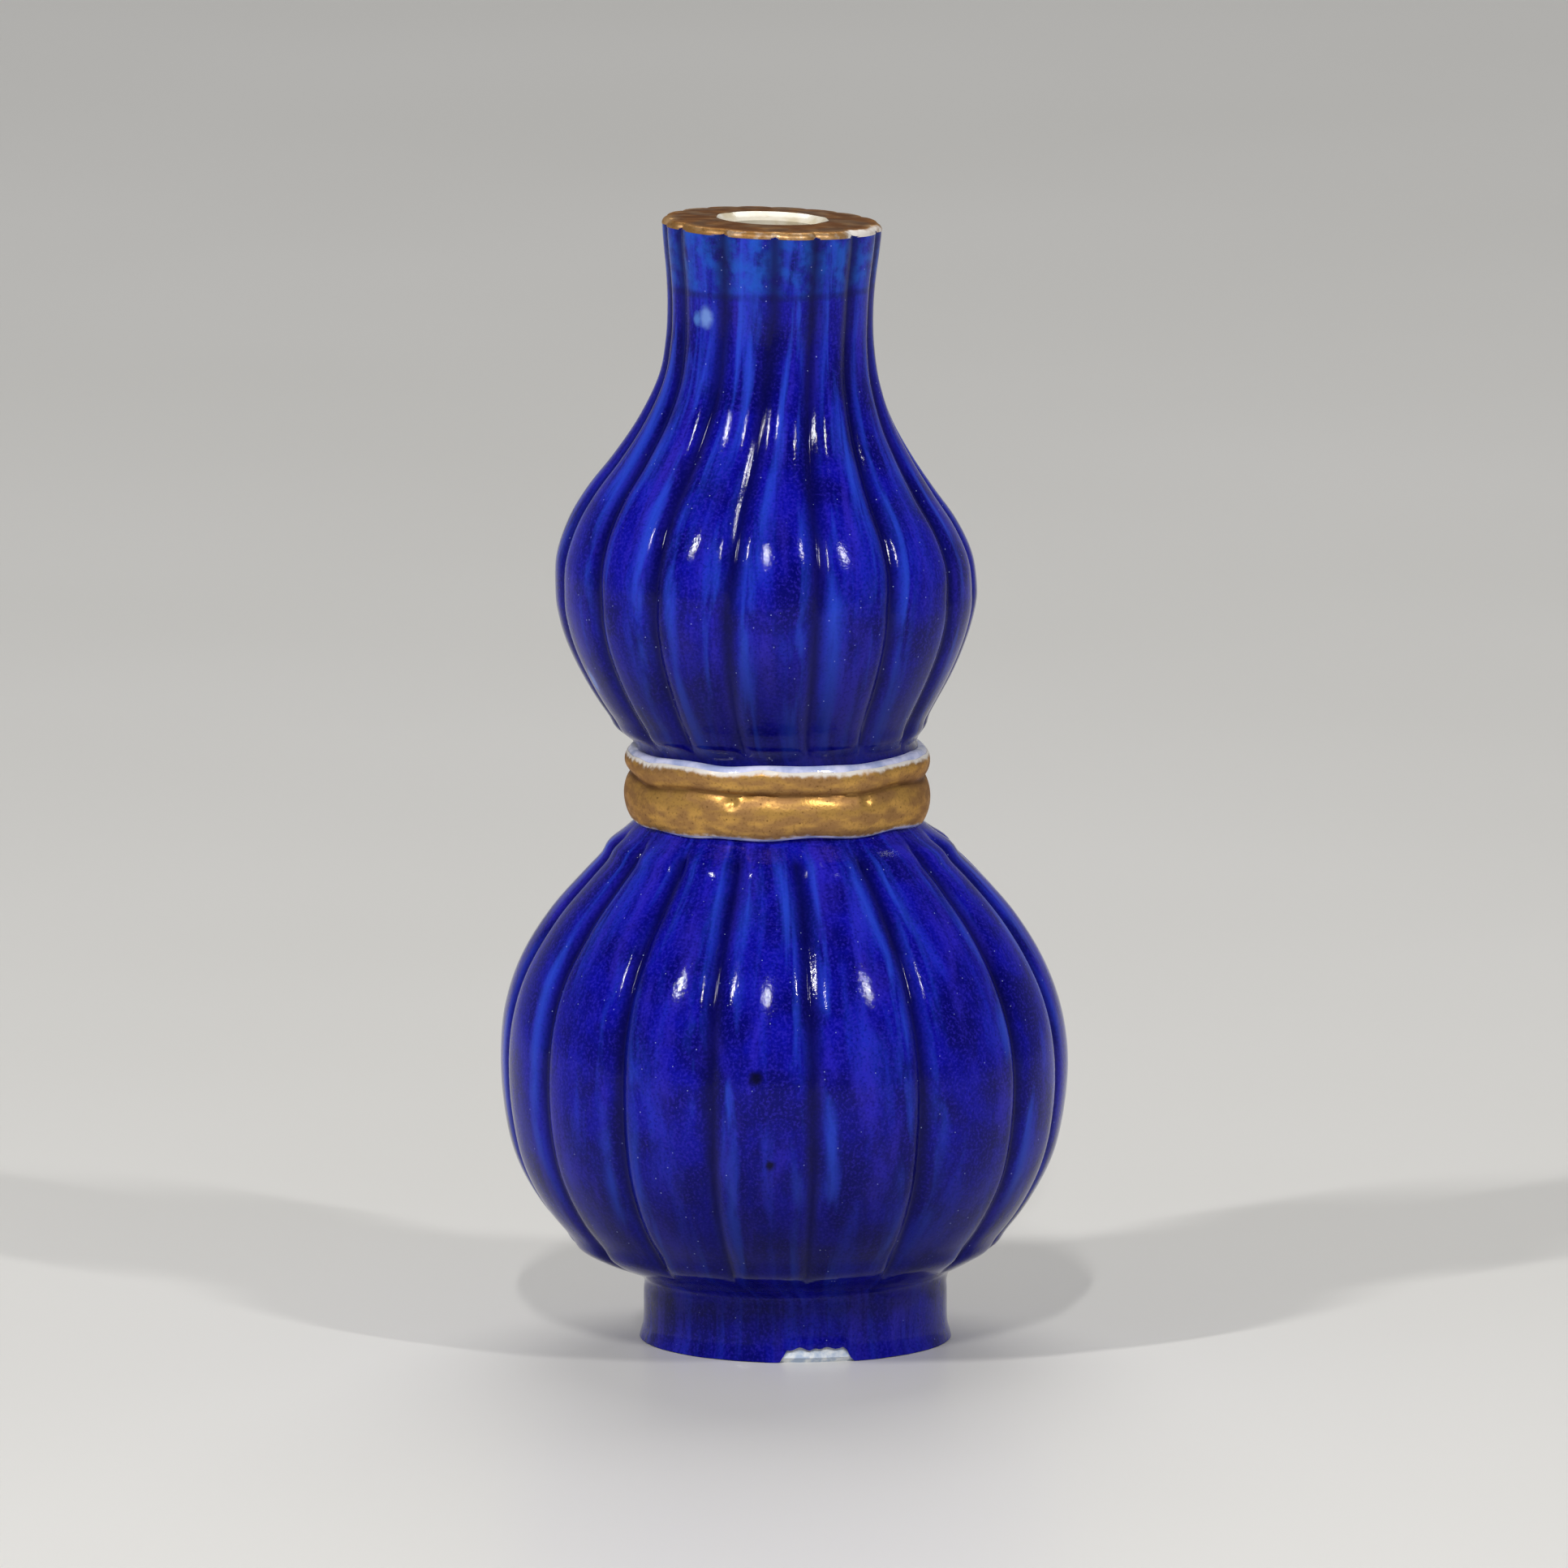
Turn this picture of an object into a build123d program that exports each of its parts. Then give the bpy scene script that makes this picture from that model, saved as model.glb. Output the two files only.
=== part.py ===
from build123d import *
import os
from collections import namedtuple
from math import atan2, cos, radians, sin

os.makedirs("parts", exist_ok=True)

# A ribbed double gourd vase in cobalt glazed porcelain, built by hand from clay
# sections that are joined with slip. Lengths are millimetres. The vase stands on
# Z = 0 and its front is -Y. The origin lies on the lower bulb's axis, level with
# the standing edge.

# Heights of the stretches, one on top of the other
foot_height = 8.7
cove_height = 3.6
lower_bulb_under_height = 28.4
lower_bulb_over_height = 33.8
lower_strip_height = 6.4
upper_strip_height = 4.0
upper_bulb_under_height = 22.4
shoulder_height = 14.2
neck_height = 26.0
mouth_height = 11.5
lip_height = 0.6

# Outer radii of the bare clay, measured over the crests of the ribs
foot_side_radius = 21.2
foot_flare = 0.7
cove_radius = 26.6
lower_bulb_radius = 39.9
waist_radius = 19.6
upper_bulb_radius = 29.5
shoulder_radius = 24.2
neck_radius = 14.25
lip_radius = 15.2
lip_rounding = 0.6

# Insides
foot_wall = 3.3
bulb_wall = 3.7
neck_wall = 5.2
throat_radius = 13.6
bore_radius = 6.8
mouth_flare = 1.2
slab_thickness = 4.7
floor_rise = 2.2
standing_edge_width = 2.6
standing_edge_bevel = 0.5
inner_edge_height = 1.6
foot_flare_height = 3.4

# Ribs: sixteen lobes between narrow grooves, pressed slightly unevenly by hand
rib_count = 16
cove_rib_depth = 0.2
lower_rib_depth = 1.3
upper_rib_depth = 1.05
neck_rib_depth = 0.55
lower_first_groove = 8.4
upper_first_groove = 14.0

# Band of two applied strips at the waist: how far they stand out from it
lower_strip_depth = 1.9
upper_strip_depth = 1.7
strip_edge_depth = 0.8
white_edge_height = 0.7
white_foot_height = 0.25

# Slip joints and coats
slip_thickness = 0.5
cobalt_thickness = 0.4
groove_fill = 0.12
clear_thickness = 0.3
gilding_thickness = 0.1
bare_edge_height = 0.7
overrun = 1.0

# The hand-built body leans a little: sideways places of its axis, level by level
foot_lean = 1.6
cove_lean = 0.2
bulb_lean = 0.0
waist_lean = -0.9
upper_bulb_lean = -2.5
shoulder_lean = -3.2
neck_lean = -1.9
lip_lean = -1.7
rim_tilt = 2.0

# Where the joint lines of the upper bulb and of the collar lie in their stretches, and
# where the lip begins to round over
upper_joint_share = 0.66
collar_joint_share = 0.26
lip_shoulder_share = 1 / 3

# Outlines from bottom to top of each stretch. Each point is four shares, which run from
# the stretch's lower end to its upper end: of height, of radius, of rib depth, of lean.
cove_shares = [
    (0.0, 0.0, 0.0, 0.0),
    (0.45, 0.26, 0.0, 0.5),
]
lower_under_shares = [
    (0.0, 0.0, 0.0, 0.0),
    (0.10, 0.28, 0.75, 0.4),
    (0.27, 0.59, 0.95, 1.0),
    (0.49, 0.84, 1.0, 1.0),
    (0.72, 0.96, 1.0, 1.0),
    (1.0, 1.0, 1.0, 1.0),
]
lower_over_shares = [
    (0.20, 0.04, 0.0, 0.15),
    (0.40, 0.155, 0.0, 0.3),
    (0.60, 0.36, 0.0, 0.3),
    (0.77, 0.61, 0.15, 0.35),
    (0.88, 0.80, 0.45, 0.6),
    (0.95, 0.92, 0.9, 0.9),
    (1.0, 1.0, 1.0, 1.0),
]
upper_under_shares = [
    (0.0, 0.0, 0.0, 0.0),
    (0.05, 0.02, 0.05, 0.3),
    (0.12, 0.14, 0.5, 0.6),
    (0.28, 0.39, 0.9, 0.85),
    (0.50, 0.67, 1.0, 0.95),
    (0.70, 0.865, 1.0, 1.0),
    (0.88, 0.975, 1.0, 1.0),
    (1.0, 1.0, 1.0, 1.0),
]
shoulder_shares = [
    (0.34, 0.075, 1.0, 0.3),
    (0.68, 0.44, 1.0, 0.7),
    (1.0, 1.0, 1.0, 1.0),
]
neck_shares = [
    (0.18, 0.337, 0.1, 0.25),
    (0.38, 0.653, 0.4, 0.55),
    (0.61, 0.894, 0.7, 0.85),
    (0.82, 0.985, 0.9, 0.95),
    (1.0, 1.0, 1.0, 1.0),
]
mouth_shares = [
    (0.40, 0.26, 1.0, 0.4),
    (0.80, 0.80, 1.0, 0.8),
    (1.0, 1.0, 1.0, 1.0),
]

# How far each groove stands from its even place, as a share of one rib's width
lower_groove_shares = [
    -0.10, -0.05, 0.15, 0.05, -0.06, 0.04, 0.09, -0.05,
    0.03, -0.08, 0.05, -0.04, 0.04, 0.02, 0.035, -0.04,
]
upper_groove_shares = [
    0.0, 0.015, 0.16, 0.06, -0.05, 0.04, -0.07, 0.05,
    0.08, -0.05, 0.03, -0.04, -0.10, -0.01, -0.08, -0.10,
]
rim_groove_shares = [
    0.48, 0.57, 0.80, 0.73, 0.64, 0.56, 0.47, 0.38,
    0.29, 0.18, 0.09, 0.0, -0.11, -0.23, 0.16, 0.46,
]

# Levels and radii that the pieces share, worked out from the sizes above
half_slip = slip_thickness / 2
cove_level = foot_height + cove_height
lower_wide_level = cove_level + lower_bulb_under_height
band_bottom_level = lower_wide_level + lower_bulb_over_height
strip_joint_level = band_bottom_level + lower_strip_height
band_top_level = strip_joint_level + upper_strip_height
waist_joint_level = (band_bottom_level + band_top_level) / 2
upper_wide_level = band_top_level + upper_bulb_under_height
upper_joint_level = band_top_level + upper_bulb_under_height * upper_joint_share
shoulder_level = upper_wide_level + shoulder_height
neck_level = shoulder_level + neck_height
collar_joint_level = neck_level + mouth_height * collar_joint_share
lip_edge_level = neck_level + mouth_height
lip_level = lip_edge_level + lip_height
floor_level = foot_height + floor_rise
recess_level = floor_level - slab_thickness
foot_edge_radius = foot_side_radius + foot_flare
opening_radius = foot_side_radius - foot_wall
slab_radius = opening_radius - slip_thickness
mouth_radius = bore_radius + mouth_flare
waist_wall = waist_radius - throat_radius
shoulder_turn_share = shoulder_height / (shoulder_height + neck_height)

Level = namedtuple("Level", "height radius groove lean turn wall")


def blend(low, high, share):
    return low + (high - low) * share


def stretch(shares, heights, radii, grooves, leans, turns, walls):
    """The levels of one stretch. Each pair holds its lower end and its upper end."""
    levels = []
    for up, out, rib, aside in shares:
        level = Level(
            height=blend(*heights, up),
            radius=blend(*radii, out),
            groove=blend(*grooves, rib),
            lean=blend(*leans, aside),
            turn=blend(*turns, up),
            wall=blend(*walls, up),
        )
        levels.append(level)
    return levels


def level_plane(level, lift=0.0):
    """The plane of a level, tipped to the right as far as the neck is there."""
    tilt = radians(rim_tilt * level.turn)
    normal = Vector(sin(tilt), 0, cos(tilt))
    centre = Vector(level.lean, 0, level.height) + normal * lift
    return Plane(origin=centre, x_dir=(cos(tilt), 0, -sin(tilt)), z_dir=normal)


def around(plane, radius, angle):
    """A point at an angle from the front, counted towards +X."""
    turn = radians(angle)
    return plane.from_local_coords(Vector(radius * sin(turn), -radius * cos(turn), 0))


def groove_angles(first, low_shares, high_shares, turn):
    width = 360 / rib_count
    angles = []
    for number in range(rib_count):
        place = number % len(low_shares)
        share = blend(low_shares[place], high_shares[place], turn)
        angles.append(first + width * (number + share))
    return angles


def lower_grooves(level):
    shares = lower_groove_shares
    return groove_angles(lower_first_groove, shares, shares, level.turn)


def upper_grooves(level):
    shares = upper_groove_shares, rim_groove_shares
    return groove_angles(upper_first_groove, *shares, level.turn)


def lobed_ring(level, grooves, coat=0.0, lift=0.0):
    """One level of the ribbed outside: an arc for each rib, meeting in the grooves."""
    plane = level_plane(level, lift)
    angles = grooves(level)
    crest = level.radius + coat
    valley = crest - level.groove
    edges = []
    for start, end in zip(angles, angles[1:] + [angles[0] + 360]):
        first = around(plane, valley, start)
        middle = around(plane, crest, (start + end) / 2)
        last = around(plane, valley, end)
        edges.append(Edge.make_three_point_arc(first, middle, last))
    return Wire(edges)


def round_ring(level, skin=0.0):
    return Wire.make_circle(level.radius - level.wall - skin, level_plane(level))


def coated(levels, coat, fill):
    """Levels moved out by a coat, square to their outline. The ends keep their height."""
    outer = []
    for below, level, above in zip(levels[:1] + levels, levels, levels[1:] + levels[-1:]):
        run = above.radius - below.radius
        rise = above.height - below.height
        inside = below is not level and above is not level
        slope = atan2(run, rise) if inside else 0.0
        moved = level._replace(
            height=level.height - coat * sin(slope),
            radius=level.radius + coat * cos(slope),
            groove=max(level.groove - fill, 0.0),
        )
        outer.append(moved)
    return outer


def ribbed_body(levels, grooves):
    return Solid.make_loft([lobed_ring(level, grooves) for level in levels])


def round_body(levels, skin=0.0):
    return Solid.make_loft([round_ring(level, skin) for level in levels])


def block(radius, bottom, top, lean):
    """A round block that stands upright on the axis of its level."""
    return Solid.make_cylinder(radius, top - bottom, Plane(origin=(lean, 0, bottom)))


def part_between(shape, bottom, top):
    """What lies of a shape between two heights."""
    width = 2 * (lower_bulb_radius + upper_bulb_radius)
    return shape & Pos(0, 0, (bottom + top) / 2) * Box(width, width, top - bottom)


def spot(lean, radius, height):
    return Vector(lean + radius, 0, height)


def turned(edges, lean):
    """A ring turned about the axis of its level from the edges of its profile."""
    return revolve(make_face(edges), Axis((lean, 0, 0), (0, 0, 1)), 360)


def save(shape, name):
    export_step(shape, f"parts/{name}.step")


# Levels of the ribbed outside, from the foot to the band and from the band to the lip
lower_levels = stretch(
    cove_shares,
    heights=(foot_height, cove_level),
    radii=(foot_side_radius, cove_radius),
    grooves=(0.0, 0.0),
    leans=(foot_lean, cove_lean),
    turns=(0.0, 0.0),
    walls=(bulb_wall, bulb_wall),
)
lower_levels += stretch(
    lower_under_shares,
    heights=(cove_level, lower_wide_level),
    radii=(cove_radius, lower_bulb_radius),
    grooves=(cove_rib_depth, lower_rib_depth),
    leans=(cove_lean, bulb_lean),
    turns=(0.0, 0.0),
    walls=(bulb_wall, bulb_wall),
)
lower_levels += stretch(
    lower_over_shares,
    heights=(lower_wide_level, band_bottom_level),
    radii=(lower_bulb_radius, waist_radius),
    grooves=(lower_rib_depth, 0.0),
    leans=(bulb_lean, waist_lean),
    turns=(0.0, 0.0),
    walls=(bulb_wall, waist_wall),
)
upper_levels = stretch(
    upper_under_shares,
    heights=(band_top_level, upper_wide_level),
    radii=(waist_radius, upper_bulb_radius),
    grooves=(0.0, upper_rib_depth),
    leans=(waist_lean, upper_bulb_lean),
    turns=(0.0, 0.0),
    walls=(waist_wall, bulb_wall),
)
upper_levels += stretch(
    shoulder_shares,
    heights=(upper_wide_level, shoulder_level),
    radii=(upper_bulb_radius, shoulder_radius),
    grooves=(upper_rib_depth, upper_rib_depth),
    leans=(upper_bulb_lean, shoulder_lean),
    turns=(0.0, shoulder_turn_share),
    walls=(bulb_wall, bulb_wall),
)
upper_levels += stretch(
    neck_shares,
    heights=(shoulder_level, neck_level),
    radii=(shoulder_radius, neck_radius),
    grooves=(upper_rib_depth, neck_rib_depth),
    leans=(shoulder_lean, neck_lean),
    turns=(shoulder_turn_share, 1.0),
    walls=(bulb_wall, neck_wall),
)
upper_levels += stretch(
    mouth_shares,
    heights=(neck_level, lip_edge_level),
    radii=(neck_radius, lip_radius),
    grooves=(neck_rib_depth, neck_rib_depth),
    leans=(neck_lean, lip_lean),
    turns=(1.0, 1.0),
    walls=(neck_wall, lip_radius - bore_radius),
)

# The lip: its lower edge, its rounded shoulder and its flat top
lip_edge = upper_levels[-1]
lip_shoulder_level = blend(lip_edge_level, lip_level, lip_shoulder_share)
lip_shoulder = lip_edge._replace(height=lip_shoulder_level)
lip_top = lip_edge._replace(height=lip_level, radius=lip_radius - lip_rounding)


def lip_cap(coat=0.0):
    rings = [
        lobed_ring(lip_edge, upper_grooves, coat),
        lobed_ring(lip_shoulder, upper_grooves, coat, lift=coat / 2),
        lobed_ring(lip_top, upper_grooves, coat, lift=coat),
    ]
    return Solid.make_loft(rings, ruled=True)


# Clay of the two ribbed bodies before they are hollowed. Both run on under the band
# as plain round collars, which meet in the waist joint.
lower_body = ribbed_body(lower_levels, lower_grooves)
lower_body += block(waist_radius, band_bottom_level, waist_joint_level - half_slip, waist_lean)
upper_body = ribbed_body(upper_levels, upper_grooves)
upper_body += block(waist_radius, waist_joint_level + half_slip, band_top_level, waist_lean)
upper_body += lip_cap()


def hollow(skin=0.0, over=0.0):
    """The round hollow, from the floor to the mouth, drawn in by a skin of glaze. Its
    mouth runs on upwards by a length over."""
    floor = Level(floor_level + skin, opening_radius, 0.0, foot_lean, 0.0, 0.0)
    bore = lip_edge._replace(radius=bore_radius, wall=0.0)
    mouth_level = lip_level + clear_thickness
    mouth = bore._replace(
        height=mouth_level + over,
        radius=mouth_radius + mouth_flare * over / (mouth_level - lip_edge_level),
    )
    void = round_body([floor] + lower_levels[len(cove_shares) + 1 :], skin)
    void += block(throat_radius - skin, band_bottom_level, band_top_level, waist_lean)
    void += round_body(upper_levels[:-1] + [bore], skin)
    void += round_body([bore, mouth], skin)
    return void


clay_hollow = hollow()
opening = block(opening_radius, foot_height, floor_level, foot_lean)
lower_shell = lower_body - clay_hollow - opening
upper_shell = upper_body - clay_hollow

# Foot ring, turned with a slight flare at its bare standing edge
foot_top_level = foot_height - slip_thickness


def foot_block(coat=0.0):
    edge = foot_edge_radius + coat
    side = foot_side_radius + coat
    inner_foot_radius = foot_edge_radius - standing_edge_bevel - standing_edge_width
    corners = [
        spot(foot_lean, edge, bare_edge_height),
        spot(foot_lean, edge - standing_edge_bevel, 0),
        spot(foot_lean, inner_foot_radius, 0),
        spot(foot_lean, opening_radius, inner_edge_height),
        spot(foot_lean, opening_radius, foot_top_level),
        spot(foot_lean, side, foot_top_level),
        spot(foot_lean, side, foot_flare_height),
    ]
    lines = [Line(low, high) for low, high in zip(corners, corners[1:])]
    flare = TangentArc(corners[-1], corners[0], tangent=(0, 0, -1))
    return turned([*lines, flare], foot_lean)


foot_ring = foot_block()
save(foot_ring, "foot_ring")
foot_slip = block(foot_side_radius, foot_top_level, foot_height, foot_lean)
foot_slip -= block(opening_radius, foot_top_level, foot_height, foot_lean)
save(foot_slip, "foot_luting_slip")

# Base slab, let into the opening from below with slip round its edge
base_slab = block(slab_radius, recess_level, floor_level, foot_lean)
save(base_slab, "base_slab")
save(block(opening_radius, recess_level, floor_level, foot_lean) - base_slab, "base_luting_slip")

# Lower bulb: two pressed halves, joined at the widest line
lower_joint_bottom = lower_wide_level - half_slip
lower_joint_top = lower_wide_level + half_slip
waist_joint_bottom = waist_joint_level - half_slip
waist_joint_top = waist_joint_level + half_slip
save(part_between(lower_shell, foot_height, lower_joint_bottom), "lower_bulb_lower_shell")
save(part_between(lower_shell, lower_joint_bottom, lower_joint_top), "lower_bulb_luting_slip")
save(part_between(lower_shell, lower_joint_top, waist_joint_bottom), "lower_bulb_upper_shell")

# Waist joint, hidden under the band
waist_slip = block(waist_radius, waist_joint_bottom, waist_joint_top, waist_lean)
save(waist_slip - clay_hollow, "waist_luting_slip")

# Upper bulb, shoulder with neck, and the thick collar that forms the mouth
upper_joint_bottom = upper_joint_level - half_slip
upper_joint_top = upper_joint_level + half_slip
collar_joint_bottom = collar_joint_level - half_slip
collar_joint_top = collar_joint_level + half_slip
top_level = lip_level + lip_radius
save(part_between(upper_shell, waist_joint_top, upper_joint_bottom), "upper_bulb_lower_shell")
save(part_between(upper_shell, upper_joint_bottom, upper_joint_top), "upper_bulb_luting_slip")
save(part_between(upper_shell, upper_joint_top, collar_joint_bottom), "shoulder_and_neck_shell")
save(part_between(upper_shell, collar_joint_bottom, collar_joint_top), "collar_luting_slip")
save(part_between(upper_shell, collar_joint_top, top_level), "mouth_collar")


# Band: two strips of clay laid round the waist, each with a rounded face
def strip(bottom, top, bead_depth, coat=0.0):
    edge = waist_radius + strip_edge_depth + coat
    low_corner = spot(waist_lean, edge, bottom)
    high_corner = spot(waist_lean, edge, top)
    bead = spot(waist_lean, waist_radius + bead_depth + coat, (bottom + top) / 2)
    low_root = spot(waist_lean, waist_radius, bottom)
    high_root = spot(waist_lean, waist_radius, top)
    face = ThreePointArc(low_corner, bead, high_corner)
    upper_side = Line(high_corner, high_root)
    back = Line(high_root, low_root)
    lower_side = Line(low_root, low_corner)
    return turned([face, upper_side, back, lower_side], waist_lean)


def band(coat=0.0):
    lower = strip(band_bottom_level, strip_joint_level, lower_strip_depth, coat)
    upper = strip(strip_joint_level, band_top_level, upper_strip_depth, coat)
    return lower, upper


lower_strip, upper_strip = band()
glazed_lower_strip, glazed_upper_strip = band(clear_thickness)
gilt_lower_strip, gilt_upper_strip = band(clear_thickness + gilding_thickness)
save(lower_strip, "lower_band_strip")
save(upper_strip, "upper_band_strip")
glazed_band = glazed_lower_strip + glazed_upper_strip
gilt_band = gilt_lower_strip + gilt_upper_strip - glazed_band
save(glazed_band - lower_strip - upper_strip, "clear_band_glaze")
gilt_bottom = band_bottom_level + white_foot_height
gilt_top = band_top_level - white_edge_height
save(part_between(gilt_band, gilt_bottom, gilt_top), "band_gilding")

# Cobalt glaze: one coat from the foot to the band, one from the band to the lip.
# It lies thicker in the grooves.
foot_coat = part_between(foot_block(cobalt_thickness), bare_edge_height, foot_top_level)
foot_coat += block(
    foot_side_radius + cobalt_thickness, foot_top_level, foot_height, foot_lean
)
foot_coat -= foot_ring
foot_coat -= block(foot_side_radius, 0, foot_height, foot_lean)
lower_coat = ribbed_body(coated(lower_levels, cobalt_thickness, groove_fill), lower_grooves)
save(foot_coat + (lower_coat - lower_body), "lower_cobalt_glaze")
upper_coat = ribbed_body(coated(upper_levels, cobalt_thickness, groove_fill), upper_grooves)
save(upper_coat - upper_body, "upper_cobalt_glaze")

# Clear glaze of the whole inside, which turns over the lip, and of the foot's recess
glazed_lip = lip_cap(clear_thickness)
inside_coat = (glazed_lip - upper_body) + clay_hollow
save(inside_coat - hollow(clear_thickness, overrun), "clear_inside_glaze")
recess = block(opening_radius, inner_edge_height, recess_level, foot_lean)
bare_recess = block(
    opening_radius - clear_thickness,
    inner_edge_height,
    recess_level - clear_thickness,
    foot_lean,
)
save(recess - bare_recess, "clear_base_glaze")

# Gold on the lip, laid over its clear glaze as far as the mouth
mouth_plane = level_plane(lip_top)
mouth_cut = Solid.make_cylinder(mouth_radius, lip_height + overrun, mouth_plane)
rim_gold = lip_cap(clear_thickness + gilding_thickness) - glazed_lip - mouth_cut
save(rim_gold, "rim_gilding")
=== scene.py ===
from collections import namedtuple
from math import atan2, cos, exp, hypot, pi, radians, sin, tau

import bmesh
import bpy
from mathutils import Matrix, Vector, noise


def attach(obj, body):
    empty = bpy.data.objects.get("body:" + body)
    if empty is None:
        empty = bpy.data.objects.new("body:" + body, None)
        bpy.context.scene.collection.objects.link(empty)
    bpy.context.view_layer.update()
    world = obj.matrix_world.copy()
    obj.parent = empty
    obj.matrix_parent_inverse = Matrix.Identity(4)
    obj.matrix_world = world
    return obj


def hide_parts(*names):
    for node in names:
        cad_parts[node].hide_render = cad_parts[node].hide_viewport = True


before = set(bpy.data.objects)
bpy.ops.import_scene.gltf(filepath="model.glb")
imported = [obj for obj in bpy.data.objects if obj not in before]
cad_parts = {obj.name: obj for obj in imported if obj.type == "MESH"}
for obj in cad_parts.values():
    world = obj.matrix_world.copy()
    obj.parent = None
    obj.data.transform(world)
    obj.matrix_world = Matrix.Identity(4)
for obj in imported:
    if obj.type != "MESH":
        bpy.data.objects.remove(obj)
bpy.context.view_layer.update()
mm = 0.001

# Clay body: white porcelain, pressed in moulds in sections and turned at the foot.
# It is fired with the glaze on, and stays bare only at the standing edge and where
# a flake of the glaze has come off.
clay_nodes = (
    "foot_ring",
    "base_slab",
    "lower_bulb_lower_shell",
    "lower_bulb_upper_shell",
    "upper_bulb_lower_shell",
    "shoulder_and_neck_shell",
    "mouth_collar",
)
clay_colour = "#dfe3e6"
clay_shade = "#a9b9d0"
# The real grain is too fine to show, so it is drawn as coarse as it needs to show
clay_grain_size = 1.1
clay_grit_depth = 0.1


def linear(colour):
    """An sRGB hex colour as linear red, green, blue and full opacity."""
    channels = [int(colour[place : place + 2], 16) / 255 for place in (1, 3, 5)]
    return [c / 12.92 if c <= 0.04045 else ((c + 0.055) / 1.055) ** 2.4 for c in channels] + [1.0]


def add(material, kind, inputs=None, **settings):
    """Adds a node with its settings. An input is a value or the socket that feeds it."""
    tree = material.node_tree
    node = tree.nodes.new("ShaderNode" + kind)
    for name, value in settings.items():
        setattr(node, name, value)
    for name, value in (inputs or {}).items():
        if isinstance(value, bpy.types.NodeSocket):
            tree.links.new(value, node.inputs[name])
        else:
            node.inputs[name].default_value = value
    return node


def start_material(name):
    """A new material without nodes but its output."""
    material = bpy.data.materials.new(name)
    material.use_nodes = True
    material.node_tree.nodes.clear()
    add(material, "OutputMaterial")
    return material


def end_material(material, shader):
    """Gives a material its shader."""
    output = material.node_tree.nodes[0]
    material.node_tree.links.new(shader.outputs[0], output.inputs["Surface"])


# Unglazed porcelain: vitrified and fine, so it is matt with a trace of grain, and glaze
# that soaked in tints it bluish in places.
bare_porcelain = start_material("bare_porcelain")
place = add(bare_porcelain, "TexCoord").outputs["Object"]
grain = {"Vector": place, "Scale": 1 / (clay_grain_size * mm), "Detail": 5.0}
grain = add(bare_porcelain, "TexNoise", grain).outputs[0]
tone = {"Value": grain, "From Min": 0.38, "From Max": 0.6}
tone = add(bare_porcelain, "MapRange", tone).outputs[0]
paint = {0: tone, 6: linear(clay_shade), 7: linear(clay_colour)}
grit = {"Height": grain, "Distance": clay_grit_depth * mm, "Strength": 0.8}
surface = {
    "Base Color": add(bare_porcelain, "Mix", paint, data_type="RGBA").outputs[2],
    "Normal": add(bare_porcelain, "Bump", grit).outputs[0],
    "Roughness": 0.55,
    "IOR": 1.5,
}
end_material(bare_porcelain, add(bare_porcelain, "BsdfPrincipled", surface))


def finish_node(name, material):
    """Gives a node of the frame its material, as its only one."""
    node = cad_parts[name]
    node.data.materials.clear()
    node.data.materials.append(material)


for name in clay_nodes:
    finish_node(name, bare_porcelain)

# Slip joints: porcelain clay thinned with water, brushed between the sections and fired
# with them. It is the same white body, a little duller.
slip_nodes = (
    "foot_luting_slip",
    "base_luting_slip",
    "lower_bulb_luting_slip",
    "waist_luting_slip",
    "upper_bulb_luting_slip",
    "collar_luting_slip",
)
slip_colour = "#d5d5cf"
slip_shade = "#bdbdb6"
slip_grain_size = 0.8

# Fired slip: porcelain without a glaze, so it is matt, and its grain is drawn coarser than
# it is, like the clay's
fired_slip = start_material("fired_slip")
place = add(fired_slip, "TexCoord").outputs["Object"]
grain = {"Vector": place, "Scale": 1 / (slip_grain_size * mm), "Detail": 3.0}
grain = add(fired_slip, "TexNoise", grain).outputs[0]
paint = {0: grain, 6: linear(slip_shade), 7: linear(slip_colour)}
paint = add(fired_slip, "Mix", paint, data_type="RGBA").outputs[2]
surface = {"Base Color": paint, "Roughness": 0.6, "IOR": 1.5}
end_material(fired_slip, add(fired_slip, "BsdfPrincipled", surface))
for name in slip_nodes:
    finish_node(name, fired_slip)

# Cobalt glaze of the lower bulb and foot: one thick coat of glossy blue glaze over the
# ribs. It thins over the shoulders of the ribs, pools in the grooves between them and
# stops short of the standing edge, where a flake of it has come off at the front.
glaze_thickness = 0.38
bare_edge_height = 0.7
foot_height = 8.7
cove_height = 3.6
lower_bulb_under_height = 28.4
lower_bulb_over_height = 33.8
band_height = 10.4
foot_edge_radius = 21.9
foot_middle_radius = 21.35
foot_side_radius = 21.2
foot_flare_height = 3.4
cove_radius = 26.6
lower_bulb_radius = 39.9
waist_radius = 19.6
bulb_wall = 3.7
throat_radius = 13.6
rib_count = 16
cove_rib_depth = 0.2
lower_rib_depth = 1.3
neck_rib_depth = 0.55
lower_first_groove = 8.4
foot_lean = 1.6
cove_lean = 0.2
bulb_lean = 0.0
waist_lean = -0.9
tucked_height = 1.2
cove_level = foot_height + cove_height
lower_wide_level = cove_level + lower_bulb_under_height
band_bottom_level = lower_wide_level + lower_bulb_over_height
band_top_level = band_bottom_level + band_height

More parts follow.
